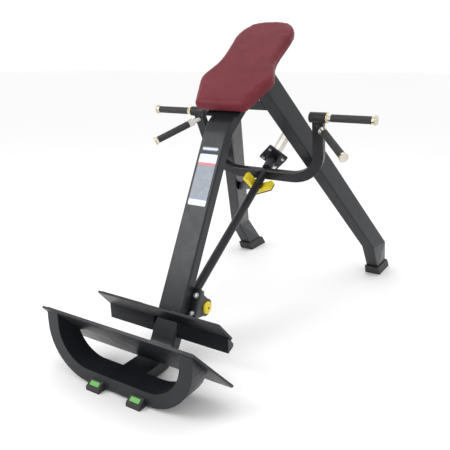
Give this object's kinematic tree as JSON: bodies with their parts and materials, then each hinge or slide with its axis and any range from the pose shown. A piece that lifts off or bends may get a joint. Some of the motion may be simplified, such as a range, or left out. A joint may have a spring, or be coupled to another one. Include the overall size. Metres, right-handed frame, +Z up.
{
  "type": "incline lever row",
  "caption": "Plate-loaded incline row: chest pad on a bent post with splayed rear legs, sloping foot plates and a pivoting lever with twin-grip handles.",
  "frame": {"origin": "on the floor, under the middle of the machine's bounding box", "axes": "+X across the machine to the right as seen from the foot plates, +Y from the foot plates towards the rear legs, +Z up"},
  "size_m": [1.0978, 1.809, 1.2908],
  "materials": {
    "frame_black": "satin powder coat",
    "lever_black": "gloss powder coat",
    "tread_rubber": "studded matt",
    "foot_rubber": "matt moulded",
    "grip_rubber": "ribbed matt",
    "pad_leather": "soft vinyl, lightly grained",
    "pad_backing": "matt board cover",
    "chrome": "polished plate",
    "bright_steel": "zinc plated",
    "yellow_plastic": "moulded nylon",
    "bearing_cast": "painted casting",
    "small_placard": "printed label film",
    "large_placard": "printed label film"
  },
  "bodies": {
    "frame": {"main_post": "frame_black", "front_base_ring": "frame_black", "lower_foot_plate": "frame_black", "lower_foot_tread": "tread_rubber", "upper_foot_plate": "frame_black", "upper_foot_tread_left": "tread_rubber", "upper_foot_tread_right": "tread_rubber", "step_bracket_left": "frame_black", "step_bracket_right": "frame_black", "front_foot_left": "foot_rubber", "front_foot_right": "foot_rubber", "rear_leg_left": "frame_black", "rear_leg_right": "frame_black", "rear_shoe_left": "foot_rubber", "rear_shoe_right": "foot_rubber", "leg_bridge": "frame_black", "pad_plate": "frame_black", "pad_board": "pad_backing", "chest_pad": "pad_leather", "small_placard": "small_placard", "large_placard": "large_placard", "pivot_plate": "frame_black", "bearing_housing_left": "bearing_cast", "bearing_housing_right": "bearing_cast", "bearing_cap_left": "yellow_plastic", "bearing_cap_right": "yellow_plastic", "housing_bolt_left_1": "bright_steel", "housing_bolt_left_2": "bright_steel", "housing_bolt_right_1": "bright_steel", "housing_bolt_right_2": "bright_steel", "cradle_pad_left": "yellow_plastic", "cradle_pad_right": "yellow_plastic", "cradle_bracket": "frame_black", "cradle_arm": "frame_black"},
    "lever": {"pivot_shaft": "bright_steel", "lever_hub": "lever_black", "lever_tube": "lever_black", "handlebar": "lever_black", "horn_stub": "lever_black", "horn_flange": "lever_black", "flange_bolt_1": "bright_steel", "flange_bolt_2": "bright_steel", "flange_bolt_3": "bright_steel", "flange_bolt_4": "bright_steel", "weight_horn": "chrome", "handle_head_left": "lever_black", "cross_collar_left": "chrome", "cross_grip_left": "grip_rubber", "cross_end_cap_left": "chrome", "lower_collar_left": "chrome", "lower_grip_left": "grip_rubber", "lower_end_cap_left": "chrome", "handle_head_right": "lever_black", "cross_collar_right": "chrome", "cross_grip_right": "grip_rubber", "cross_end_cap_right": "chrome", "lower_collar_right": "chrome", "lower_grip_right": "grip_rubber", "lower_end_cap_right": "chrome"}
  },
  "joints": [
    {"name": "lever_hinge", "type": "hinge", "parent": "frame", "child": "lever", "pos_m": [0, -0.4465, 0.187], "axis": [1, 0, 0], "range_deg": [0, 16]}
  ]
}
